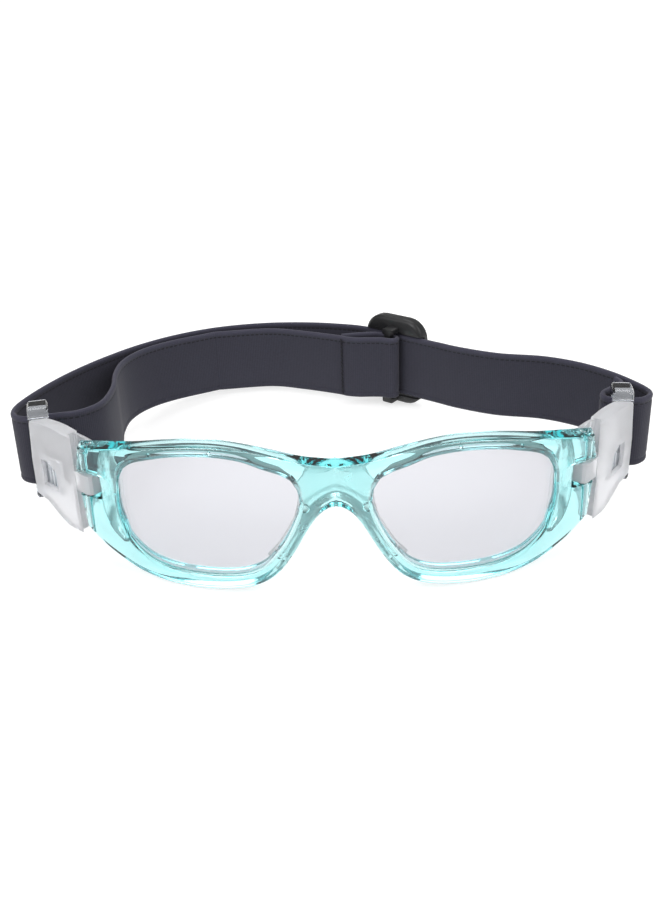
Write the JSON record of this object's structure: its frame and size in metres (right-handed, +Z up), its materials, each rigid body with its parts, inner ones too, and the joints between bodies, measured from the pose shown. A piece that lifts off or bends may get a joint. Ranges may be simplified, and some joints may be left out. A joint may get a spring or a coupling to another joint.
{
  "type": "sports protective goggles",
  "caption": "Wrap-round clear sports goggles with rim-set lenses, a nose pad, pivoting side arms with strap loops, and an elastic head strap with a sliding adjuster.",
  "frame": {"origin": "centre of the overall box at rest, on the flat surface the goggles lie on", "axes": "+X to the wearer's left, -Y the way the wearer looks, +Z up from the surface; the front leans 8.3 degrees back from vertical, as it does when the goggles lie on a table"},
  "size_m": [0.195, 0.1232, 0.0454],
  "materials": {
    "frame_polycarbonate": "gloss",
    "lens_polycarbonate": "gloss",
    "pad_elastomer": "satin",
    "arm_plastic": "satin",
    "loop_plastic": "gloss",
    "pin_plastic": "gloss",
    "strap_webbing": "matte",
    "seam_thread": "matte",
    "adjuster_plastic": "satin"
  },
  "bodies": {
    "front": {"front_frame": "frame_polycarbonate", "lens_left": "lens_polycarbonate", "lens_right": "lens_polycarbonate", "nose_pad": "pad_elastomer", "side_pad_left": "pad_elastomer", "side_pad_right": "pad_elastomer", "hinge_pin_left": "pin_plastic", "hinge_pin_right": "pin_plastic", "strap_outer_run": "strap_webbing", "strap_inner_run": "strap_webbing"},
    "arm_left": {"side_arm_left": "arm_plastic", "strap_loop_left": "loop_plastic", "strap_fold_left": "strap_webbing", "seam_arm": "seam_thread"},
    "arm_right": {"side_arm_right": "arm_plastic", "strap_loop_right": "loop_plastic", "strap_fold_right": "strap_webbing"},
    "adjuster": {"tri_glide": "adjuster_plastic", "strap_sewn_end": "strap_webbing", "seam_adjuster": "seam_thread"}
  },
  "joints": [
    {"name": "arm_left_hinge", "type": "hinge", "parent": "front", "child": "arm_left", "pos_m": [0.07193, -0.03973, 0.0229], "axis": [0, 0.1444, 0.9895], "range_deg": [-12, 16]},
    {"name": "arm_right_hinge", "type": "hinge", "parent": "front", "child": "arm_right", "pos_m": [-0.06987, -0.03973, 0.0229], "axis": [0, -0.1444, -0.9895], "range_deg": [-4, 24]},
    {"name": "adjuster_slide", "type": "slide", "parent": "front", "child": "adjuster", "axis": [0.794, -0.6016, 0.0878], "range_m": [0, 0.012]}
  ]
}
